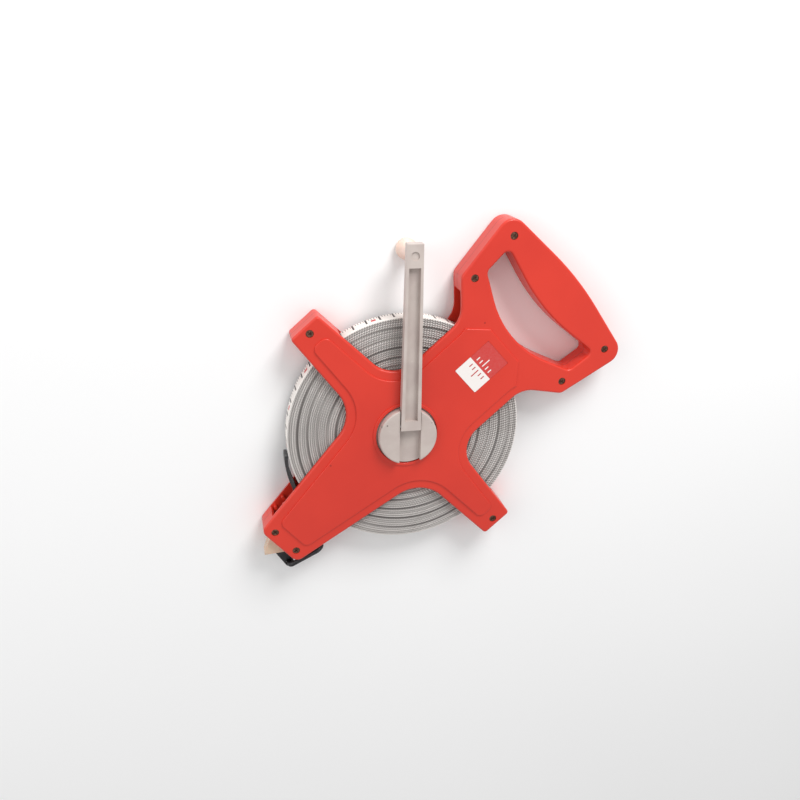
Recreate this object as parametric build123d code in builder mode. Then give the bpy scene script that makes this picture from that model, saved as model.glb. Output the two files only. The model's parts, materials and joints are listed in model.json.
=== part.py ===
"""Surveyor's open tape reel: a 50 m fibreglass tape in an X-shaped frame of two plastic halves.

The reel lies on its rear face. Its long axis runs along X, from the tape mouth (-X) to the hand
grip (+X), and the drum turns about a line parallel to Z. The origin is the middle of the base.
Sizes in the plane of the frame are measured from the drum's axis, which crosses X at hub_x.
Millimetres throughout.
"""
import os
from math import atan2, cos, hypot, radians, sin

from build123d import *

# Tape and drum
tape_width = 13.0
coil_radius = 86.0  # 50 m of 0.42 mm tape wound on the drum
drum_radius = 26.0
journal_wall = 2.9
side_clearance = 1.5  # from each face of the coil to the plate beside it

# Frame halves
plate = 3.0  # outer plate of each half
wall = 2.4
panel_rise = 1.0  # raised middle panel of each half
panel_margin = 7.0  # frame edge to raised panel
panel_arm_end = 95.5  # drum axis to the panel's end in each short arm
panel_mouth_end = 112.8
panel_corner = 5.0
panel_back = 8.5  # panel's blunt point to the handle's inner shoulder
panel_point = (30.0, 12.0, 17.0)  # lengths of the point's two tapers, and half width of its end
mouth_reach = 127.0  # drum axis to the mouth's outer wall
mouth_half_width = 19.0
mouth_flare = 0.166  # widening of the mouth arm towards the hub, per side
grip_reach = 164.5  # drum axis to the outside of the grip
grip_thickness = 33.6  # grip_reach to where the opening's two grip sides would meet
grip_corner_back = 6.5  # the grip's outer face is bowed: its corners stand back from its middle
grip_bow = 1.5  # where that face's two tangents meet, beyond its middle
handle_half_width = 71.2
handle_root = 103.5  # drum axis to the handle's inner shoulder
waist_half_width = 36.5
arm_reach = 110.0
arm_end_width = 24.8
arm_root_width = 37.0
arm_mouth_side = 1.2  # the arm is this much narrower at its root on the mouth's side
mouth_fillet = 26.0  # between a short arm and the mouth arm
neck_fillet = 22.0  # between a short arm and the neck
neck_length = 19.5  # the neck ends this far before the handle's inner shoulder
shoulder_drop = 10.2  # handle's inner shoulder, in from the handle's full width
opening_back = 7.3  # the hand opening starts this far before the handle's inner shoulder
opening_hub_corner = (15.5, 20.6)  # out from that shoulder, and in from the handle's full width
opening_grip_corner = (10.1, 18.6)  # out from the opening's grip side, and in from the full width
arm_offset = 1.2  # the short arms stand a little towards the handle
edge_round = 1.6
coil_gap = 3.5  # coil edge to the side walls
mouth_window = (-113.0, -84.0)  # open side of the mouth arm, along X
neck_window = (60.0, 97.0)  # open sides of the neck, along X

# Fasteners
screw_radius = 1.5
screw_length = 17.0
screw_head_radius = 2.6
screw_head_height = 1.8
screw_sink = 2.4  # depth of the head's recess
screw_clearance = 0.2
cross_length = 3.0  # cross recess in a frame screw's head
cross_width = 0.7
cross_depth = 0.9
post_radius = 4.2
arm_post_reach = 104.2
shoulder_post = (109.8, 53.4)
grip_post = (148.8, 57.0)
mouth_post = (-120.2, 11.2)
mouth_post_radius = 2.9
roller_wall = 1.2
roller_end_gap = 0.3
roller_chamfer = 0.4
peg_radius = 1.3
peg_height = 4.0
pegs = [(-101.3, 20.8), (-110.7, 19.0)]  # stubs beside the mouth arm's open side

# Hub
hub_hole = 22.5
running_clearance = 0.06
disc_gap = 1.2
bead_width = 2.4
bead_rise = 0.8
disc_proud = 5.9  # hub disc above the raised panel
disc_round = 1.2
journal_depth = 2.0  # how far the journal stands back from the panel's face
drum_web = 3.0
slot_gap = 0.5  # each side of the crank
slot_offset = 1.5
slot_clearance = 0.2
washer_thickness = 0.7
washer_clearance = 0.1
cap_thickness = 1.2
cap_recess = 0.4  # rear cap back from the base
cap_spigot = 3.0
cap_clearance = 0.1
hub_screw_inset = 4.4  # drum's bore to the hub screws
hub_screw_length = 24.6
hub_screw_radius = 1.4
hub_post_radius = 3.2

# Crank
crank_angle = 48.1  # direction of the stowed crank
crank_thickness = 6.2
crank_lift = 0.4  # crank above the hub bead
crank_root_width = 14.6
crank_tip_width = 11.4
crank_reach = 131.0  # drum axis to the knob
crank_tip_margin = 8.6
hinge_reach = 8.5  # drum axis to the crank's hinge
crank_tail = 3.1  # hinge to the crank's square end
tail_round = 0.5
pocket_clearance = 0.25  # round the crank's square end as it swings
pocket_floor = 0.8
hinge_radius = 1.2
channel_start = 12.8
channel_margin = 8.0  # knob axis to the channel's end
channel_root_wall = 2.6
channel_tip_wall = 1.6
channel_depth = 3.6
dimple_radius = 3.05
dimple_depth = 2.2
knob_radius = 7.5
knob_neck = 4.6
knob_floor_gap = 1.0
knob_flange = 4.2
knob_pin_radius = 2.0
knob_foot_radius = 3.4
pin_head = 1.2
knob_flutes = 26
flute_radius = 0.55

# Tape end
leader_thickness = 2.4
leader_clearance = 0.4  # leader to coil
leader_start = 147.0  # where the leader leaves the coil, round from the long axis
claw_reach = 13.4  # outside the mouth wall
claw_half_width = 8.6
claw_thickness = 12.0
tongue_half_width = 3.2
tongue_length = 12.0
mouth_clearance = 0.6
rivet_radius = 1.3
rivet_inset = 4.0  # from the tongue's inner end
ring_eye = (-133.6, -19.2)
ring_bar = 1.9
ring_length = 31.0
ring_width = 16.5
ring_slope = -15.0
eye_clearance = 0.35
lug_radius = 3.4
lug_thickness = 4.0

# Label
label_length = 32.0
label_width = 23.5
label_reach = 72.6
label_depth = 0.5
label_gap = 0.3
label_round = 0.8

# Heights above the base
half_depth = plate + side_clearance + tape_width / 2  # plain face to mid-plane
middle = panel_rise + half_depth
rear_inside = panel_rise + plate
front_inside = 2 * middle - rear_inside
front_plain = 2 * middle - panel_rise
front_panel = 2 * middle
disc_face = front_panel + disc_proud
crank_back = front_panel + bead_rise + crank_lift
crank_front = crank_back + crank_thickness
hinge_height = (crank_back + crank_front) / 2
cavity_depth = front_inside - rear_inside

# The origin is under the middle of the whole assembly, so the drum's axis stands a little to one side
hub_x = (mouth_reach + claw_reach - grip_reach) / 2


def mirrored(points):
    """The points, then their images across the long axis, in reverse order."""
    return points + [(x, -y) for x, y in reversed(points) if y != 0]


def outline():
    """Corner points and corner radii of the frame, from the mouth's upper corner round."""
    root = arm_root_width / 2
    end = arm_end_width / 2
    waist = mouth_half_width + (mouth_reach - root) * mouth_flare
    bow_angle = atan2(grip_corner_back + grip_bow, handle_half_width)
    bow_radius = grip_bow / (1 / cos(bow_angle) - 1)  # so that the bowed face reaches grip_reach
    corners = [
        ((-mouth_reach, mouth_half_width), 6.0),
        ((arm_offset - root + arm_mouth_side, waist), mouth_fillet),
        ((arm_offset - end, arm_reach), 2.5),
        ((arm_offset + end, arm_reach), 2.5),
        ((arm_offset + root, waist_half_width), neck_fillet),
        ((handle_root - neck_length, waist_half_width), 20.0),
        ((handle_root, handle_half_width - shoulder_drop), 6.0),
        ((grip_reach - grip_corner_back, handle_half_width), 11.0),
        ((grip_reach + grip_bow, 0.0), bow_radius),
    ]
    radii = [radius for point, radius in corners]
    return mirrored([point for point, radius in corners]), radii + radii[-2::-1]


def hand_opening():
    """Corner points and corner radii of the opening behind the grip."""
    inside = grip_reach - grip_thickness
    hub_corner = (handle_root + opening_hub_corner[0], handle_half_width - opening_hub_corner[1])
    grip_corner = (inside + opening_grip_corner[0], handle_half_width - opening_grip_corner[1])
    points = [(handle_root - opening_back, 0), hub_corner, grip_corner, (inside, 0)]
    points += [(grip_corner[0], -grip_corner[1]), (hub_corner[0], -hub_corner[1])]
    return points, [75.0, 5.0, 4.0, 150.0, 4.0, 5.0]


def level(height):
    """Horizontal plane at this height, with its own origin on the drum's axis."""
    return Plane((hub_x, 0, height))


outline_points, outline_radii = outline()
opening_points, opening_radii = hand_opening()

wide_posts = [(arm_offset, arm_post_reach), (arm_offset, -arm_post_reach)]
wide_posts += mirrored([shoulder_post]) + mirrored([grip_post])
mouth_posts = mirrored([mouth_post])
all_posts = wide_posts + mouth_posts

with BuildSketch() as half_profile:
    with BuildLine():
        FilletPolyline(*outline_points, radius=outline_radii, close=True)
    make_face()
    with BuildLine():
        FilletPolyline(*opening_points, radius=opening_radii, close=True)
    make_face(mode=Mode.SUBTRACT)

with BuildSketch() as inside_profile:
    add(half_profile.sketch)
    offset(amount=-wall, kind=Kind.INTERSECTION, mode=Mode.REPLACE)

# The raised panel fills the arms and stops short of the handle in a blunt point
panel_end = handle_root - panel_back
panel_side = waist_half_width - panel_margin
with BuildSketch() as panel_profile:
    with BuildLine():
        FilletPolyline(*outline_points, radius=outline_radii, close=True)
    make_face()
    offset(amount=-panel_margin, kind=Kind.INTERSECTION, mode=Mode.REPLACE)
    with BuildLine():
        Polyline(
            *mirrored(
                [
                    (-panel_mouth_end, panel_arm_end),
                    (panel_end - panel_point[0], panel_arm_end),
                    (panel_end - panel_point[1], panel_side),
                    (panel_end, panel_point[2]),
                ]
            ),
            close=True,
        )
    make_face(mode=Mode.INTERSECT)
    arm_corners = panel_profile.vertices().group_by(Axis.Y)
    mouth_corners = panel_profile.vertices().group_by(Axis.X)[0]
    panel_round = min(panel_corner, arm_end_width / 2 - panel_margin)
    fillet(arm_corners[0] + arm_corners[-1] + mouth_corners, panel_round)


def frame_half():
    """The rear half: plain face at panel_rise, raised panel down to the base, open upwards."""
    with BuildPart() as half:
        with BuildSketch(level(panel_rise)):
            add(half_profile.sketch)
        extrude(amount=half_depth)
        fillet(half.faces().sort_by(Axis.Z)[0].edges(), edge_round)
        with BuildSketch(level(rear_inside)):
            add(inside_profile.sketch)
            Circle(coil_radius + coil_gap)
        extrude(amount=half_depth, mode=Mode.SUBTRACT)
        # Open sides: where the tape enters the mouth arm, and beside the neck
        with BuildSketch(level(rear_inside)):
            with Locations((sum(mouth_window) / 2, mouth_half_width + 6)):
                Rectangle(mouth_window[1] - mouth_window[0], 18)
            for side in (1, -1):
                with Locations((sum(neck_window) / 2, side * (waist_half_width + 8))):
                    Rectangle(neck_window[1] - neck_window[0], 24)
        extrude(amount=half_depth, mode=Mode.SUBTRACT)
        with BuildSketch(level(panel_rise)):
            add(panel_profile.sketch)
        extrude(amount=-panel_rise)
        fillet(half.faces().sort_by(Axis.Z)[0].edges(), 0.6 * panel_rise)
        # Screw posts, and the mouth's pegs
        with BuildSketch(level(rear_inside)):
            with Locations(*wide_posts):
                Circle(post_radius)
            with Locations(*mouth_posts):
                Circle(mouth_post_radius)
        extrude(amount=middle - rear_inside)
        with BuildSketch(level(rear_inside)):
            with Locations(*pegs):
                Circle(peg_radius)
        extrude(amount=peg_height)
        with BuildSketch(level(0)):
            Circle(hub_hole)
        extrude(amount=rear_inside, mode=Mode.SUBTRACT)
        # Slot in the mouth's outer wall for the tape end
        with BuildSketch(level(middle - claw_thickness / 2 - mouth_clearance)):
            with Locations((-mouth_reach, 0)):
                Rectangle(3 * wall, 2 * (tongue_half_width + mouth_clearance))
        extrude(amount=half_depth, mode=Mode.SUBTRACT)
    return half.part


common_half = frame_half()

with BuildPart() as rear_frame:
    add(common_half)
    with BuildSketch(level(front_plain - screw_sink - screw_length - screw_radius)):
        with Locations(*all_posts):
            Circle(screw_radius)
    extrude(amount=middle, mode=Mode.SUBTRACT)

with BuildPart() as front_frame:
    add(mirror(common_half, about=level(middle)))
    # Bead round the hub hole
    with BuildSketch(level(front_panel)):
        Circle(hub_hole + bead_width)
        Circle(hub_hole, mode=Mode.SUBTRACT)
    extrude(amount=bead_rise)
    fillet(front_frame.faces().sort_by(Axis.Z)[-1].edges(), 0.6 * bead_rise)
    with Locations(*[level(front_plain) * Pos(x, y) for x, y in all_posts]):
        CounterBoreHole(
            screw_radius + screw_clearance, screw_head_radius + screw_clearance, screw_sink, half_depth
        )
    # Recess for the label
    with BuildSketch(level(front_panel)):
        with Locations((label_reach, 0)):
            Rectangle(label_length, label_width)
    extrude(amount=-label_depth, mode=Mode.SUBTRACT)

with BuildPart() as frame_screws:
    for x, y in all_posts:
        with BuildSketch(level(front_plain - screw_sink)):
            with Locations((x, y)):
                Circle(screw_head_radius)
        extrude(amount=screw_head_height)
        with BuildSketch(level(front_plain - screw_sink)):
            with Locations((x, y)):
                Circle(screw_radius)
        extrude(amount=-screw_length)
        # Cross recess in the head
        with BuildSketch(level(front_plain - screw_sink + screw_head_height)):
            with Locations((x, y)):
                Rectangle(cross_length, cross_width)
                Rectangle(cross_width, cross_length)
        extrude(amount=-cross_depth, mode=Mode.SUBTRACT)

with BuildPart() as label_plate:
    with BuildSketch(level(front_panel - label_depth)):
        with Locations((label_reach, 0)):
            Rectangle(label_length - label_gap, label_width - label_gap)
    extrude(amount=label_depth)
    fillet(label_plate.edges().filter_by(Axis.Z), label_round)

# Drum: a tube for the tape, closed at the front, with a journal in each half
drum_rear = rear_inside + washer_thickness + washer_clearance
drum_front = front_inside - washer_thickness - washer_clearance
journal_rear = cap_recess + cap_thickness
journal_front = front_panel - journal_depth
journal_radius = hub_hole - running_clearance
journal_bore = hub_hole - journal_wall
slot_width = crank_root_width + 2 * slot_gap
hub_screws_at = PolarLocations(journal_bore - hub_screw_inset, 2, crank_angle + 90)
with BuildPart() as reel_drum:
    with BuildSketch(level(drum_rear)):
        Circle(drum_radius)
    extrude(amount=drum_front - drum_rear)
    with BuildSketch(level(journal_rear)):
        Circle(journal_radius)
    extrude(amount=journal_front - journal_rear)
    with BuildSketch(level(journal_rear)):
        Circle(journal_bore)
    extrude(amount=journal_front - drum_web - journal_rear, mode=Mode.SUBTRACT)
    with BuildSketch(level(journal_rear + cap_spigot)):
        with hub_screws_at:
            Circle(hub_post_radius)
    extrude(amount=journal_front - drum_web - journal_rear - cap_spigot)
    with BuildSketch(level(journal_rear)):
        with hub_screws_at:
            Circle(hub_screw_radius + screw_clearance)
    extrude(amount=journal_front - journal_rear, mode=Mode.SUBTRACT)

with BuildPart() as tape_coil:
    with BuildSketch(level(middle - tape_width / 2)):
        Circle(coil_radius)
        Circle(drum_radius, mode=Mode.SUBTRACT)
    extrude(amount=tape_width)

with BuildPart() as rear_hub_cap:
    with BuildSketch(level(cap_recess)):
        Circle(hub_hole - disc_gap)
    extrude(amount=cap_thickness)
    with BuildSketch(level(cap_recess + cap_thickness)):
        Circle(journal_bore - cap_clearance)
    extrude(amount=cap_spigot)
    fillet(rear_hub_cap.faces().sort_by(Axis.Z)[0].edges(), 0.6)
    with BuildSketch(level(cap_recess)):
        with hub_screws_at:
            Circle(screw_head_radius + screw_clearance)
    extrude(amount=screw_sink, mode=Mode.SUBTRACT)
    with BuildSketch(level(cap_recess)):
        with hub_screws_at:
            Circle(hub_screw_radius + screw_clearance)
    extrude(amount=cap_thickness + cap_spigot, mode=Mode.SUBTRACT)

with BuildPart() as hub_screws:
    head_at = cap_recess + screw_sink
    with BuildSketch(level(head_at)):
        with hub_screws_at:
            Circle(screw_head_radius)
    extrude(amount=-screw_head_height)
    with BuildSketch(level(head_at)):
        with hub_screws_at:
            Circle(hub_screw_radius)
    extrude(amount=hub_screw_length)

# The crank lies along its own X axis, off to one side of the drum's axis
crank_direction = (cos(radians(crank_angle)), sin(radians(crank_angle)), 0)
crank_origin = (
    hub_x + slot_offset * sin(radians(crank_angle)),
    -slot_offset * cos(radians(crank_angle)),
)


def crank_plane(height):
    return Plane((*crank_origin, height), x_dir=crank_direction, z_dir=(0, 0, 1))


# Looking along the hinge pin: X along the crank, Y upwards
crank_side = Plane(
    (*crank_origin, 0), x_dir=crank_direction, z_dir=(crank_direction[1], -crank_direction[0], 0)
)

with BuildPart() as hub_disc:
    with BuildSketch(level(journal_front)):
        Circle(hub_hole - disc_gap)
    extrude(amount=disc_face - journal_front)
    fillet(hub_disc.faces().sort_by(Axis.Z)[-1].edges(), disc_round)
    with BuildSketch(crank_plane(crank_back - slot_clearance)):
        Rectangle(3 * hub_hole, slot_width)
    extrude(amount=disc_proud + disc_face, mode=Mode.SUBTRACT)
    tail_swing = hypot(crank_tail, crank_thickness / 2) + pocket_clearance
    pocket_base = min(journal_front + pocket_floor, hinge_height - tail_swing)
    with BuildSketch(crank_plane(pocket_base)):
        with Locations((hinge_reach, 0)):
            Rectangle(2 * tail_swing, slot_width)
    extrude(amount=hinge_height - pocket_base, mode=Mode.SUBTRACT)
    with BuildSketch(level(journal_front)):
        with hub_screws_at:
            Circle(hub_screw_radius)
    extrude(amount=head_at + hub_screw_length - journal_front, mode=Mode.SUBTRACT)
    # Bore for the hinge pin through both cheeks
    with BuildSketch(crank_side):
        with Locations((hinge_reach, hinge_height)):
            Circle(hinge_radius)
    extrude(amount=hub_hole, both=True, mode=Mode.SUBTRACT)

with BuildPart() as crank_hinge_pin:
    with BuildSketch(crank_side):
        with Locations((hinge_reach, hinge_height)):
            Circle(hinge_radius)
    extrude(amount=slot_width / 2 + 3.0, both=True)

crank_end = crank_reach + crank_tip_margin
with BuildPart() as crank_arm:
    with BuildSketch(crank_side):
        with Locations(((hinge_reach - crank_tail + crank_end) / 2, hinge_height)):
            Rectangle(crank_end - hinge_reach + crank_tail, crank_thickness)
    extrude(amount=crank_root_width / 2, both=True)
    with BuildSketch(crank_plane(crank_back)):
        with BuildLine():
            Polyline(
                *mirrored([(0, crank_root_width / 2), (crank_end, crank_tip_width / 2)]), close=True
            )
        make_face()
    extrude(amount=crank_thickness, mode=Mode.INTERSECT)
    crank_ends = crank_arm.faces().sort_by(Axis(origin=(0, 0, 0), direction=crank_direction))
    fillet(crank_ends[-1].edges(), 0.8)
    fillet(crank_ends[0].edges(), tail_round)
    # Long channel in the front
    with BuildSketch(crank_plane(crank_front)):
        with BuildLine():
            Polyline(
                *mirrored(
                    [
                        (channel_start, crank_root_width / 2 - channel_root_wall),
                        (crank_reach - channel_margin, crank_tip_width / 2 - channel_tip_wall),
                    ]
                ),
                close=True,
            )
        make_face()
    extrude(amount=-channel_depth, mode=Mode.SUBTRACT)
    with BuildSketch(crank_plane(crank_front)):
        with Locations((crank_reach, 0)):
            Circle(dimple_radius)
    extrude(amount=-dimple_depth, mode=Mode.SUBTRACT)
    with BuildSketch(crank_plane(crank_back)):
        with Locations((crank_reach, 0)):
            Circle(knob_pin_radius)
    extrude(amount=crank_thickness, mode=Mode.SUBTRACT)
    with BuildSketch(crank_side):
        with Locations((hinge_reach, hinge_height)):
            Circle(hinge_radius + running_clearance)
    extrude(amount=crank_root_width, both=True, mode=Mode.SUBTRACT)

knob_pin_end = knob_floor_gap + 0.3
with BuildPart() as knob_pin:
    with BuildSketch(crank_plane(knob_pin_end)):
        with Locations((crank_reach, 0)):
            Circle(knob_pin_radius)
    extrude(amount=crank_front - dimple_depth - knob_pin_end)
    with BuildSketch(crank_plane(crank_front - dimple_depth)):
        with Locations((crank_reach, 0)):
            Circle(dimple_radius)
    extrude(amount=pin_head)
    with BuildSketch(crank_plane(knob_pin_end)):
        with Locations((crank_reach, 0)):
            Circle(knob_foot_radius)
    extrude(amount=pin_head)

# The knob is a spool, turned about the pin, with a fluted flange at its far end
knob_top = crank_back - roller_end_gap
knob_side = crank_side.offset(0).shift_origin(crank_side.from_local_coords((crank_reach, 0)))
with BuildPart() as knob:
    with BuildSketch(knob_side) as knob_section:
        with BuildLine():
            knob_wall = Spline(
                (knob_radius, knob_floor_gap + knob_flange),
                (knob_neck + 0.5, knob_floor_gap + knob_flange + 4.0),
                (knob_neck, knob_top - 7.0),
                (knob_neck + 0.9, knob_top),
            )
            Polyline(
                knob_wall @ 1,
                (0, knob_top),
                (0, knob_floor_gap),
                (knob_radius - 1.0, knob_floor_gap),
                (knob_radius, knob_floor_gap + 1.0),
                knob_wall @ 0,
            )
        make_face()
    revolve(axis=Axis(knob_side.origin, (0, 0, 1)))
    with BuildSketch(crank_plane(knob_floor_gap)):
        with Locations((crank_reach, 0)):
            with PolarLocations(knob_radius + 0.15, knob_flutes):
                Circle(flute_radius)
    extrude(amount=knob_flange, mode=Mode.SUBTRACT)
    with BuildSketch(crank_plane(knob_floor_gap)):
        with Locations((crank_reach, 0)):
            Circle(knob_pin_radius + running_clearance)
    extrude(amount=knob_top, mode=Mode.SUBTRACT)
    with BuildSketch(crank_plane(knob_floor_gap)):
        with Locations((crank_reach, 0)):
            Circle(knob_foot_radius + roller_end_gap)
    extrude(amount=knob_pin_end - knob_floor_gap + pin_head + 0.2, mode=Mode.SUBTRACT)


def bearing_washer(height):
    with BuildPart() as washer:
        with BuildSketch(level(height)):
            Circle(drum_radius)
            Circle(hub_hole + running_clearance, mode=Mode.SUBTRACT)
        extrude(amount=washer_thickness)
    return washer


rear_washer = bearing_washer(rear_inside)
front_washer = bearing_washer(front_inside - washer_thickness)


def guide_roller(x, y):
    with BuildPart() as roller:
        with BuildSketch(level(rear_inside + roller_end_gap)):
            with Locations((x, y)):
                Circle(mouth_post_radius + roller_wall)
                Circle(mouth_post_radius + running_clearance, mode=Mode.SUBTRACT)
        extrude(amount=cavity_depth - 2 * roller_end_gap)
        rims = roller.edges().filter_by(GeomType.CIRCLE).group_by(SortBy.RADIUS)[-1]
        chamfer(rims, roller_chamfer)
    return roller


upper_guide_roller, lower_guide_roller = [guide_roller(x, y) for x, y in mouth_posts]

# The leader strap leaves the coil on its upper left, bulges, and turns into the mouth
leader_top = coil_radius + leader_clearance + leader_thickness / 2
tail_joint = -mouth_reach + mouth_clearance + tongue_length + 3.0
leader_route = [
    (leader_top * cos(radians(leader_start)), leader_top * sin(radians(leader_start))),
    (-80.5, 41.0),
    (-90.5, 17.0),
    (-102.0, 0.0),
    (tail_joint + leader_thickness / 2 + 0.2, 0.0),
]
with BuildPart() as tape_leader:
    with BuildSketch(level(middle - tape_width / 2)):
        with BuildLine() as leader_line:
            FilletPolyline(*leader_route, radius=[14.0, 24.0, 12.0])
            offset(amount=leader_thickness / 2, side=Side.BOTH, mode=Mode.REPLACE)
        make_face()
    extrude(amount=tape_width)

claw_back = -mouth_reach - mouth_clearance
rivet_plane = Plane(
    (hub_x + claw_back + tongue_length - rivet_inset, 0, middle), x_dir=(1, 0, 0), z_dir=(0, 1, 0)
)
with BuildPart() as end_rivet:
    with BuildSketch(rivet_plane):
        Circle(rivet_radius)
    extrude(amount=tongue_half_width, both=True)

with BuildPart() as leader_tail:
    with BuildSketch(level(middle - tape_width / 2)):
        with Locations((tail_joint - 0.2, 0)):
            Rectangle(tongue_length, leader_thickness, align=(Align.MAX, Align.CENTER))
    extrude(amount=tape_width)
    add(end_rivet.part, mode=Mode.SUBTRACT)

# The lug for the ring is held in a slot in the end fitting
with BuildPart() as ring_lug:
    with BuildSketch(level(middle - lug_thickness / 2)):
        with Locations(ring_eye):
            Circle(lug_radius)
        with BuildLine():
            Polyline(
                (claw_back - 0.4, -claw_half_width + 5.0),
                (ring_eye[0] + lug_radius, ring_eye[1]),
                (ring_eye[0] - lug_radius, ring_eye[1]),
                (claw_back - 7.0, -claw_half_width + 6.0),
                close=True,
            )
        make_face()
        with Locations(ring_eye):
            Circle(ring_bar + eye_clearance, mode=Mode.SUBTRACT)
    extrude(amount=lug_thickness)

with BuildPart() as end_fitting:
    with BuildSketch(level(middle - claw_thickness / 2)):
        with BuildLine():
            Polyline(
                (claw_back, claw_half_width),
                (claw_back + 0.6 - claw_reach, 1.0),
                (claw_back, -claw_half_width),
                close=True,
            )
        make_face()
        with Locations((claw_back, 0)):
            Rectangle(tongue_length, 2 * tongue_half_width, align=(Align.MIN, Align.CENTER))
    extrude(amount=claw_thickness)
    add(ring_lug.part, mode=Mode.SUBTRACT)
    # Slot that holds the leader
    with BuildSketch(level(middle - claw_thickness)):
        with Locations((tail_joint - 0.2, 0)):
            Rectangle(tongue_length, leader_thickness, align=(Align.MAX, Align.CENTER))
    extrude(amount=2 * claw_thickness, mode=Mode.SUBTRACT)
    add(end_rivet.part, mode=Mode.SUBTRACT)


# The ring is one closed loop of round bar through the lug
ring_plane = Plane(
    (hub_x + ring_eye[0], ring_eye[1], middle),
    x_dir=(cos(radians(ring_slope)), sin(radians(ring_slope)), 0),
    z_dir=(sin(radians(ring_slope)), -cos(radians(ring_slope)), 0),
)
ring_run = ring_length - 2 * ring_bar
ring_rise = ring_width - 2 * ring_bar
with BuildPart() as end_ring:
    with BuildLine(ring_plane) as ring_line:
        FilletPolyline(
            (0, -ring_rise / 2),
            (ring_run, -ring_rise / 2),
            (ring_run, ring_rise / 2),
            (0, ring_rise / 2),
            radius=[2.6, 5.0, 5.0, 2.6],
            close=True,
        )
    with BuildSketch(Plane(ring_line.line @ 0.1, z_dir=ring_line.line % 0.1)):
        Circle(ring_bar)
    sweep(path=ring_line.wires()[0])

pieces = {
    "front_frame": front_frame,
    "rear_frame": rear_frame,
    "frame_screws": frame_screws,
    "label_plate": label_plate,
    "front_washer": front_washer,
    "rear_washer": rear_washer,
    "tape_leader": tape_leader,
    "reel_drum": reel_drum,
    "tape_coil": tape_coil,
    "hub_disc": hub_disc,
    "rear_hub_cap": rear_hub_cap,
    "hub_screws": hub_screws,
    "crank_hinge_pin": crank_hinge_pin,
    "crank_arm": crank_arm,
    "knob_pin": knob_pin,
    "knob": knob,
    "end_fitting": end_fitting,
    "leader_tail": leader_tail,
    "end_rivet": end_rivet,
    "ring_lug": ring_lug,
    "end_ring": end_ring,
    "upper_guide_roller": upper_guide_roller,
    "lower_guide_roller": lower_guide_roller,
}

os.makedirs("parts", exist_ok=True)
for name, piece in pieces.items():
    piece.part.label = name
    export_step(piece.part, f"parts/{name}.step")
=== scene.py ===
import json
import math
import random

import bmesh
import bpy
from mathutils import Matrix, Vector


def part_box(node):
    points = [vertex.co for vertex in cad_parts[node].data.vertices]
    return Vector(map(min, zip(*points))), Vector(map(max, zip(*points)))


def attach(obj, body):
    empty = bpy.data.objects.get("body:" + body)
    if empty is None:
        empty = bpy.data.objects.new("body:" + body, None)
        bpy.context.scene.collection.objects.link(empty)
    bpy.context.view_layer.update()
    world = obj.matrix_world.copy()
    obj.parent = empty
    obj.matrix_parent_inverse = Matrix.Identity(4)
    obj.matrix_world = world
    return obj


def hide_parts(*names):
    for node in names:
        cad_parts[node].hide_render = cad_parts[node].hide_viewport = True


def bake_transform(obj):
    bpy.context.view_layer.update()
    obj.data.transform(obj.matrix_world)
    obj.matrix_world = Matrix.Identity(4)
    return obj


# A surveyor's open tape reel, lying on its rear face. Metres, X from the mouth to the grip, Z up.
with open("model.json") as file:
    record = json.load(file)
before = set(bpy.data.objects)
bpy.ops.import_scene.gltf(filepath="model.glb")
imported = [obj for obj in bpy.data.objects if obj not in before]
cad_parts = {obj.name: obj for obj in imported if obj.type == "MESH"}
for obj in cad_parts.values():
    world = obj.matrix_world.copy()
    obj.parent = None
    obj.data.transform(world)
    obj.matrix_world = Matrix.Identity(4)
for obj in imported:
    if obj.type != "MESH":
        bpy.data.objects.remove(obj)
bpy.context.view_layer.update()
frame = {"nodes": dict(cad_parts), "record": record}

coilLow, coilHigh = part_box("tape_coil")
hubX = (coilLow.x + coilHigh.x) / 2      # the drum's axis
coilRadius = (coilHigh.x - coilLow.x) / 2
middleZ = (coilLow.z + coilHigh.z) / 2
white = (1, 1, 1, 1)

coil = {"turns": 40, "steps": 180, "inner": 0.026, "valley": 0.0006, "jitter": 0.00040,
        "gapDepth": 0.0010, "sway": 0.0006, "bandTurns": (3, 4, 5, 5, 6)}
coilPitch = (coilRadius - coil["inner"]) / coil["turns"]


# A node's output that can be used in sums
class Value:

    def __init__(self, shade, socket):
        self.shade = shade
        self.socket = socket

    def sum(self, operation, *others):
        inputs = dict(enumerate((self,) + others))
        return self.shade.node("ShaderNodeMath", {"operation": operation}, inputs)

    def __add__(self, other):
        return self.sum("ADD", other)

    def __sub__(self, other):
        return self.sum("SUBTRACT", other)

    def __mul__(self, other):
        return self.sum("MULTIPLY", other)

    def __truediv__(self, other):
        return self.sum("DIVIDE", other)

    def __rsub__(self, other):
        return self.shade.node("ShaderNodeMath", {"operation": "SUBTRACT"}, {0: other, 1: self})

    def __gt__(self, other):
        return self.sum("GREATER_THAN", other)

    def __lt__(self, other):
        return self.sum("LESS_THAN", other)

    __radd__ = __add__


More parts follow.
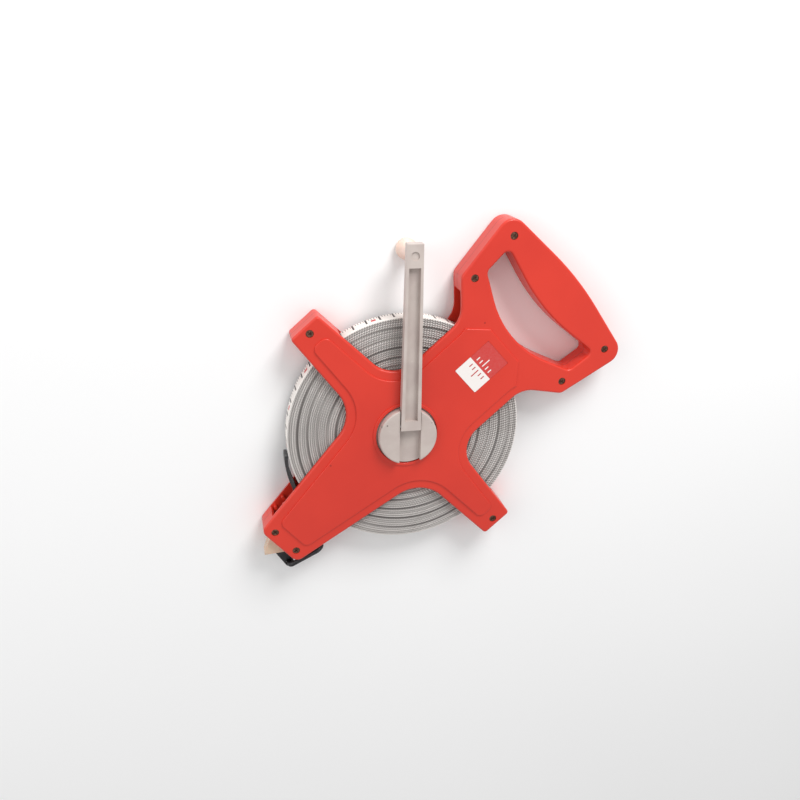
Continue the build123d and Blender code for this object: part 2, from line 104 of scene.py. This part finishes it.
class Shade:
    def __init__(self, name):
        self.material = bpy.data.materials.new(name)
        self.material.use_nodes = True
        self.nodes = self.material.node_tree.nodes
        self.links = self.material.node_tree.links
        self.surface = self.nodes["Principled BSDF"]
        self.place = self.node("ShaderNodeTexCoord", {}, {}, "Object")

    def node(self, kind, settings, inputs, output=0):
        made = self.nodes.new(kind)
        for setting, value in settings.items():
            setattr(made, setting, value)
        for name, value in inputs.items():
            self.feed(made.inputs[name], value)
        return Value(self, made.outputs[output])

    def feed(self, socket, value):
        if isinstance(value, Value):
            self.links.new(value.socket, socket)
        else:
            socket.default_value = value

    def set(self, **sockets):
        for name, value in sockets.items():
            self.feed(self.surface.inputs[name.replace("_", " ")], value)

    def noise(self, scale, detail=3.0, roughness=0.5):
        inputs = {"Vector": self.place, "Scale": scale, "Detail": detail, "Roughness": roughness}
        return self.node("ShaderNodeTexNoise", {}, inputs)

    def mix(self, factor, first, second):
        return self.node("ShaderNodeMix", {"data_type": "RGBA"}, {0: factor, 6: first, 7: second}, 2)

    def smooth(self, value, low, high):
        settings = {"interpolation_type": "SMOOTHSTEP"}
        return self.node("ShaderNodeMapRange", settings, {0: value, 1: low, 2: high})

    def bump(self, height, distance, strength=1.0, under=None):
        inputs = {"Height": height, "Distance": distance, "Strength": strength}
        if under:
            inputs["Normal"] = under
        return self.node("ShaderNodeBump", {}, inputs)

    def axes(self, place=None):
        made = self.node("ShaderNodeSeparateXYZ", {}, {0: place or self.place})
        sockets = made.socket.node.outputs
        return [Value(self, sockets[i]) for i in range(3)]

    def spot(self, x, y, radius):
        # 1 inside a small round mark at x, y
        across, along, _ = self.axes()
        far = ((across - x) * (across - x) + (along - y) * (along - y)).sum("SQRT")
        return 1 - self.smooth(far, radius * 0.6, radius)


# A colour as seen on screen, 0 to 255, made linear
def rgb(red, green, blue):
    linear = [((c / 255 + 0.055) / 1.055) ** 2.4 for c in (red, green, blue)]
    return (*linear, 1)


def makeFramePlastic():
    look = {"red": rgb(219, 55, 37), "deep": rgb(210, 50, 34), "worn": rgb(240, 120, 104),
            "seam": rgb(120, 18, 12), "dots": ((-0.0552, 0.0218), (0.0950, 0.0235))}
    shade = Shade("framePlastic")
    _, _, height = shade.axes()
    cloud = shade.noise(14, 4)
    grain = shade.noise(2600, 2)
    smudge = shade.noise(55, 5, 0.65)
    scuff = shade.smooth(shade.noise(190, 6, 0.7), 0.66, 0.78)
    colour = shade.mix(shade.smooth(cloud, 0.3, 0.7), look["deep"], look["red"])
    colour = shade.mix(scuff * 0.18, colour, look["worn"])
    front = height > middleZ
    for x, y in look["dots"]:      # gate marks left by the mould
        colour = shade.mix(shade.spot(hubX + x, y, 0.0009) * front * 0.5, colour, look["seam"])
    # Fine line where the two halves meet
    seam = 1 - shade.smooth((height - middleZ).sum("ABSOLUTE"), 0.00012, 0.00030)
    colour = shade.mix(seam * 0.75, colour, look["seam"])
    shallow = shade.bump(grain, 0.00002, 0.5)
    wavy = shade.bump(cloud, 0.0006, 0.25, shallow)
    shade.set(Base_Color=colour, Roughness=0.30 + smudge * 0.16 + scuff * 0.12)
    shade.set(Normal=shade.bump(1 - seam, 0.0003, 0.8, wavy), IOR=1.5, Coat_Weight=0.1)
    return shade.material


def makeGreyPlastic():
    look = {"grey": rgb(188, 174, 168), "warm": rgb(200, 188, 181), "mark": rgb(92, 80, 76),
            "rubbed": rgb(236, 230, 226), "marks": ((-0.0049, 0.0178, 0.9), (0.0195, -0.0037, 0.35))}
    shade = Shade("hubPlastic")
    grain = shade.noise(1900, 2)
    cloud = shade.noise(60, 4)
    streak = shade.smooth(shade.noise(240, 6, 0.7), 0.62, 0.8)
    colour = shade.mix(shade.smooth(cloud, 0.3, 0.7), look["grey"], look["warm"])
    colour = shade.mix(streak * 0.18, colour, look["rubbed"])
    for x, y, strength in look["marks"]:      # moulding marks on the disc
        colour = shade.mix(shade.spot(hubX + x, y, 0.0007) * strength, colour, look["mark"])
    shade.set(Base_Color=colour, Roughness=0.36 + cloud * 0.14)
    shade.set(Normal=shade.bump(grain, 0.00002, 0.6), IOR=1.5)
    return shade.material


def makePalePlastic(name, light, dark):
    shade = Shade(name)
    cloud = shade.noise(120, 4)
    colour = shade.mix(shade.smooth(cloud, 0.3, 0.75), dark, light)
    shade.set(Base_Color=colour, Roughness=0.42 + cloud * 0.15)
    shade.set(Normal=shade.bump(shade.noise(2200, 2), 0.00002, 0.6))
    shade.set(Subsurface_Weight=0.08, Subsurface_Scale=0.002)
    return shade.material


def makeBlackPlastic():
    shade = Shade("ringPlastic")
    cloud = shade.noise(300, 4)
    colour = shade.mix(shade.smooth(cloud, 0.4, 0.7), rgb(24, 24, 26), rgb(46, 45, 48))
    shade.set(Base_Color=colour, Roughness=0.3 + cloud * 0.2)
    shade.set(Normal=shade.bump(shade.noise(1500, 2), 0.00003, 0.6))
    return shade.material


def makeMetal(name, light, dark, roughness):
    shade = Shade(name)
    cloud = shade.noise(700, 4, 0.7)
    colour = shade.mix(shade.smooth(cloud, 0.35, 0.7), dark, light)
    shade.set(Base_Color=colour, Metallic=1.0, Roughness=roughness + cloud * 0.2)
    shade.set(Normal=shade.bump(cloud, 0.00004, 0.4))
    return shade.material


def makeWebbing():
    look = {"pitch": 0.0011, "dark": rgb(14, 14, 15), "light": rgb(58, 57, 60)}
    shade = Shade("leaderWebbing")
    # X along the strap, Y across, in metres
    strap = shade.node("ShaderNodeUVMap", {"uv_map": "strap"}, {})
    along, across, _ = shade.axes(strap)
    twill = ((along / look["pitch"] + across / look["pitch"] * 0.5) * math.tau).sum("SINE")
    ribs = (across / look["pitch"] * math.tau).sum("SINE")
    weave = twill * ribs * 0.5 + 0.5
    fuzz = shade.noise(5200, 3)
    colour = shade.mix(weave * 0.6 + fuzz * 0.3, look["dark"], look["light"])
    shade.set(Base_Color=colour, Roughness=0.86, Sheen_Weight=0.35, Sheen_Roughness=0.5)
    shade.set(Normal=shade.bump(weave + fuzz * 0.3, 0.00025, 0.9))
    return shade.material


def makeTape():
    look = {"thread": 0.0019, "mark": 0.01, "pale": rgb(240, 235, 231), "grey": rgb(134, 127, 123),
            "gapShade": rgb(72, 66, 64), "stain": rgb(120, 112, 106),
            "print": rgb(206, 62, 66), "black": rgb(54, 50, 52), "face": rgb(244, 238, 232)}
    shade = Shade("woundTape")
    x, y, z = shade.axes()
    across = x - hubX
    radius = (across * across + y * y).sum("SQRT")
    angle = y.sum("ARCTAN2", across)
    drift = shade.noise(40, 3)
    grime = shade.smooth(shade.noise(26, 4, 0.6), 0.5, 0.72)
    # Each turn carries its own tint on the mesh, with painted shade in it: darker in the grooves, 0 in the
    # gaps between bands
    tintAndShade = shade.node("ShaderNodeAttribute", {"attribute_name": "turnTintAndShade"}, {}, 2)
    # Threads that show at the edge of each turn, stepped from one turn to the next
    turn = ((radius - coil["inner"]) / coilPitch).sum("FLOOR")
    threadPhase = (angle * radius / look["thread"] + turn * 0.37 + drift * 0.6) * math.tau
    thread = shade.smooth(threadPhase.sum("SINE"), -0.9, 0.1)
    # painted shade: the tint pulls the side towards the gap colour in the grooves and gaps between turns
    side = shade.mix(tintAndShade, look["gapShade"], shade.mix(thread * 0.75 + drift * 0.25, look["grey"], look["pale"]))
    side = shade.mix(grime * 0.25, side, look["stain"])
    # The outermost turn shows its printed face
    outer = radius > coilRadius - 0.0004
    mark = (angle * coilRadius / look["mark"]).sum("FRACT")
    fine = (angle * coilRadius / (look["mark"] / 5)).sum("FRACT")
    low = z - coilLow.z
    longTick = (mark < 0.13) * (low < 0.0095)
    fineTick = (fine < 0.22) * (low < 0.0035)
    block = (mark > 0.38) * (mark < 0.72) * (low > 0.0048) * (low < 0.0082)
    tenth = ((angle * coilRadius / (look["mark"] * 3)).sum("FRACT")) < 0.34
    face = shade.mix(fineTick, look["face"], look["black"])
    face = shade.mix(longTick, face, look["black"])
    face = shade.mix(block * tenth, face, look["print"])
    colour = shade.mix(outer, side, face)
    relief = thread * (1 - outer)
    shade.set(Base_Color=colour, Roughness=0.5 + drift * 0.2 - outer * 0.12)
    shade.set(Normal=shade.bump(relief, 0.0003, 0.8), IOR=1.5)
    return shade.material


def makeLabel():
    low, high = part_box("label_plate")
    look = {"split": 0.46, "tick": 0.0033, "short": 0.10, "long": 0.22, "clear": 0.06, "edge": 0.0022,
            "white": rgb(244, 238, 234), "red": rgb(206, 40, 36), "ink": rgb(190, 44, 48)}
    shade = Shade("labelPrint")
    x, y, _ = shade.axes()
    along = (x - low.x) / (high.x - low.x)
    part = along > look["split"]                                     # 0 on the white half, 1 on the red half
    colour = shade.mix(part, look["white"], look["red"])
    count = y / look["tick"] + 100.5                                 # plain graduations, every fifth one long
    ruled = (count.sum("FRACT") - 0.5).sum("ABSOLUTE") < 0.13
    fifth = (count.sum("FLOOR").sum("MODULO", 5.0)) < 0.5
    distance = (along - look["split"]).sum("ABSOLUTE") - look["clear"]
    reach = (distance > 0) * (distance < look["short"] + fifth * (look["long"] - look["short"]))
    within = y.sum("ABSOLUTE") < (high.y - low.y) / 2 - look["edge"]
    ink = shade.mix(part, look["ink"], look["white"])
    colour = shade.mix(ruled * reach * within, colour, ink)
    fibre = shade.noise(900, 3)
    shade.set(Base_Color=shade.mix(fibre * 0.12, colour, rgb(210, 200, 192)), Roughness=0.3 + fibre * 0.2)
    shade.set(Normal=shade.bump(fibre, 0.00002, 0.5), Coat_Weight=0.2)
    return shade.material


finishes = {
    "frame_plastic": makeFramePlastic(),
    "hub_plastic": makeGreyPlastic(),
    "knob_plastic": makePalePlastic("knobPlastic", rgb(246, 222, 208), rgb(234, 204, 188)),
    "claw_plastic": makePalePlastic("clawPlastic", rgb(226, 200, 176), rgb(208, 180, 156)),
    "ring_plastic": makeBlackPlastic(),
    "leader_strap": makeWebbing(),
    "tape": makeTape(),
    "label": makeLabel(),
    "dark_screw": makeMetal("screwBlack", rgb(150, 116, 98), rgb(92, 66, 56), 0.42),
    "steel": makeMetal("zincSteel", rgb(206, 208, 210), rgb(160, 162, 166), 0.26),
    "slide_washer": makePalePlastic("acetal", rgb(240, 240, 236), rgb(222, 222, 218)),
}
print("finishes made:", len(finishes))


slotOf = {part["node"]: part["material_slot"] for part in frame["record"]["subparts"]}


# Puts a bmesh into the scene as a finished piece
def addPiece(name, mesh, slotName, body=None, stands=()):
    data = bpy.data.meshes.new(name)
    mesh.to_mesh(data)
    mesh.free()
    piece = bpy.data.objects.new(name, data)
    bpy.context.scene.collection.objects.link(piece)
    data.materials.append(finishes[slotName])
    if stands:
        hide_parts(*stands)
    if body:
        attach(piece, body)
    return piece


def shadeSmooth(piece, angle=35):
    piece.data.shade_smooth()
    piece.data.set_sharp_from_angle(angle=math.radians(angle))


def dressNodes():
    for name, piece in frame["nodes"].items():
        piece.data.materials.clear()
        piece.data.materials.append(finishes[slotOf[name]])


softEdges = {"nodes": ("end_fitting", "ring_lug"), "width": 0.0005, "sharpFrom": 50, "body": "tape_end"}


# Copies of the sharp-edged plastic pieces with their edges rounded a little, as moulded ones are
def roundEdges():
    for name in softEdges["nodes"]:
        mesh = bmesh.new()
        mesh.from_mesh(frame["nodes"][name].data)
        bmesh.ops.remove_doubles(mesh, verts=mesh.verts[:], dist=1e-6)
        paired = [edge for edge in mesh.edges if len(edge.link_faces) == 2]
        sharp = [edge for edge in paired if edge.calc_face_angle() > math.radians(softEdges["sharpFrom"])]
        bmesh.ops.bevel(mesh, geom=sharp, offset=softEdges["width"], offset_type="OFFSET", affect="EDGES",
                        segments=2, profile=0.5, material=-1, clamp_overlap=True)
        piece = addPiece(name + "Soft", mesh, slotOf[name], softEdges["body"], [name])
        shadeSmooth(piece)


def makeCoil():
    chance = random.Random(4)
    half = (coilHigh.z - coilLow.z) / 2
    heights = []
    tintsAndShade = []
    nextGap = 3
    for turn in range(coil["turns"]):
        loose = turn == nextGap                       # a slack turn sits lower and leaves a gap between two bands, painted dark as shade
        if loose:
            nextGap = turn + chance.choice(coil["bandTurns"])
        heights.append(half - (coil["gapDepth"] if loose else coil["jitter"] * chance.random()))
        # painted shade: a slack turn's gap gets a dark tint, the other turns a random tone
        tintsAndShade.append(0.2 if loose else 0.7 + 0.3 * chance.random())
    upper = []
    for turn, height in enumerate(heights):
        start = coil["inner"] + turn * coilPitch
        groove = min(height, half - coil["valley"])
        upper += [(start, groove), (start + 0.25 * coilPitch, height), (start + 0.75 * coilPitch, height)]
    upper += [(coilRadius, half - coil["valley"] / 2)]
    mesh = bmesh.new()
    outline = upper + [(radius, -height) for radius, height in reversed(upper)]
    corners = [mesh.verts.new((hubX + radius, 0, middleZ + height)) for radius, height in outline]
    for first, second in zip(corners, corners[1:] + corners[:1]):
        mesh.edges.new((first, second))
    bmesh.ops.spin(mesh, geom=mesh.verts[:] + mesh.edges[:], cent=(hubX, 0, 0), axis=(0, 0, 1),
                   dvec=(0, 0, 0), angle=math.tau, steps=coil["steps"], use_merge=True)
    layer = mesh.verts.layers.float.new("turnTintAndShade")
    for corner in mesh.verts:
        radius = math.hypot(corner.co.x - hubX, corner.co.y)
        angle = math.atan2(corner.co.y, corner.co.x - hubX)
        step = (radius - coil["inner"]) / coilPitch
        turn = min(coil["turns"] - 1, max(0, int(step + 1e-4)))
        shadow = 0.42 if step - turn < 0.1 else 1.0      # painted shade in the groove between two turns
        sway = 0.5 + 0.5 * math.sin(angle * (1 + turn % 3) + turn * 1.9)
        # the tint carries painted shade: darker grooves, and dark gaps that vary along the slack turn
        corner[layer] = tintsAndShade[turn] * shadow if tintsAndShade[turn] > 0.2 else tintsAndShade[turn] + 0.45 * sway * sway
        # The turns are not quite round: they sit a little in or out from place to place
        room = min(1.0, (coilRadius - radius) / 0.006, (radius - coil["inner"]) / 0.006)
        push = coil["sway"] * room * math.sin(2 * angle + radius * 160) * math.sin(3 * angle + 1.3)
        corner.co.x += push * math.cos(angle)
        corner.co.y += push * math.sin(angle)
    bmesh.ops.recalc_face_normals(mesh, faces=mesh.faces[:])
    piece = addPiece("woundTape", mesh, "tape", "reel", ["tape_coil"])
    shadeSmooth(piece, 50)


leader = {"thick": 0.0024, "width": 0.0128, "across": 8, "along": 90,
          # the middle of the strap from the coil to the claw, from the drum's axis
          "route": [(-0.0735, 0.0477), (-0.0805, 0.0410), (-0.0905, 0.0170), (-0.1020, 0.0),
                    (-0.1075, 0.0), (-0.1114, 0.0), (-0.1230, 0.0)],
          "fixedTo": -0.1050, "movesFrom": -0.1114}


# Evenly spaced points on a smooth curve with these control points
def curvePoints(route, count):
    curve = bpy.data.curves.new("route", "CURVE")
    curve.dimensions = "3D"
    curve.resolution_u = 40
    spline = curve.splines.new("NURBS")
    spline.points.add(len(route) - 1)
    for point, (x, y) in zip(spline.points, route):
        point.co = (hubX + x, y, middleZ, 1)
    spline.order_u = 3
    spline.use_endpoint_u = True
    holder = bpy.data.objects.new("route", curve)
    line = bpy.data.meshes.new_from_object(holder)
    found = [v.co.copy() for v in line.vertices]
    bpy.data.objects.remove(holder)
    bpy.data.curves.remove(curve)
    lengths = [0.0]
    for first, second in zip(found, found[1:]):
        lengths.append(lengths[-1] + (second - first).length)
    points = []
    for i in range(count):
        want = lengths[-1] * i / (count - 1)
        k = max(j for j in range(len(lengths)) if lengths[j] <= want + 1e-9)
        k = min(k, len(lengths) - 2)
        share = (want - lengths[k]) / (lengths[k + 1] - lengths[k])
        points.append(found[k].lerp(found[k + 1], share))
    return points, lengths[-1]


def makeLeader():
    points, length = curvePoints(leader["route"], leader["along"] + 1)
    mesh = bmesh.new()
    bmesh.ops.create_grid(mesh, x_segments=leader["along"], y_segments=leader["across"], size=0.5)
    layer = mesh.loops.layers.uv.new("strap")
    for face in mesh.faces:
        for loop in face.loops:
            loop[layer].uv = ((loop.vert.co.x + 0.5) * length, loop.vert.co.y * leader["width"])
    for corner in mesh.verts:
        point = points[round((corner.co.x + 0.5) * leader["along"])]
        corner.co = (point.x, point.y, middleZ + corner.co.y * leader["width"])
    bmesh.ops.recalc_face_normals(mesh, faces=mesh.faces[:])
    piece = addPiece("leaderStrap", mesh, "leader_strap", None, ["tape_leader", "leader_tail"])
    wall = piece.modifiers.new("thickness", "SOLIDIFY")
    wall.thickness = leader["thick"]
    wall.offset = 0
    shadeSmooth(piece)
    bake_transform(piece)


dressNodes()
roundEdges()
makeCoil()
makeLeader()
print("pieces made")


stage = {"floor": 3.0, "key": 10.0, "fill": 3.0, "sky": 0.60, "lens": 37.8,
         "cameraAt": (0.0533, 0.2651, 0.5690)}


def makeFloor():
    mesh = bmesh.new()
    bmesh.ops.create_grid(mesh, x_segments=2, y_segments=2, size=stage["floor"])
    data = bpy.data.meshes.new("floor")
    mesh.to_mesh(data)
    mesh.free()
    floor = bpy.data.objects.new("floor", data)
    bpy.context.scene.collection.objects.link(floor)
    shade = Shade("floorPaper")
    shade.set(Base_Color=shade.mix(shade.noise(3, 2), rgb(246, 246, 246), rgb(250, 250, 250)), Roughness=0.9)
    data.materials.append(shade.material)


# Right, up and back of the view, in the reel's frame
def cameraAxes():
    right = Vector((0.7396, -0.6384, 0.2130)).normalized()
    back = Vector((0.0859, 0.4035, 0.9109))
    back = (back - right * back.dot(right)).normalized()
    return right, back.cross(right), back


def makeLight(name, place, aim, size, power):
    light = bpy.data.lights.new(name, "AREA")
    light.energy = power
    light.size = size
    lamp = bpy.data.objects.new(name, light)
    lamp.location = place
    lamp.rotation_euler = (Vector(aim) - Vector(place)).to_track_quat("-Z", "Y").to_euler()
    bpy.context.scene.collection.objects.link(lamp)


def makeView():
    right, up, back = cameraAxes()
    data = bpy.data.cameras.new("camera")
    data.lens = stage["lens"]
    data.sensor_width = 36.0
    data.clip_start = 0.01
    camera = bpy.data.objects.new("camera", data)
    turn = Matrix((right, up, back)).transposed().to_4x4()
    camera.matrix_world = Matrix.Translation(stage["cameraAt"]) @ turn
    bpy.context.scene.collection.objects.link(camera)
    bpy.context.scene.camera = camera
    centre = Vector((0, 0, 0.01))
    makeLight("keyLight", centre + back * 0.8 + right * 0.5 + up * 0.7, centre, 0.5, stage["key"])
    makeLight("fillLight", centre + back * 0.9 - right * 0.7 + up * 0.1, centre, 0.9, stage["fill"])
    world = bpy.data.worlds.new("studio")
    world.use_nodes = True
    world.node_tree.nodes["Background"].inputs["Color"].default_value = white
    world.node_tree.nodes["Background"].inputs["Strength"].default_value = stage["sky"]
    bpy.context.scene.world = world
    bpy.context.scene.view_settings.view_transform = "Standard"


makeFloor()
makeView()
print("stage set")
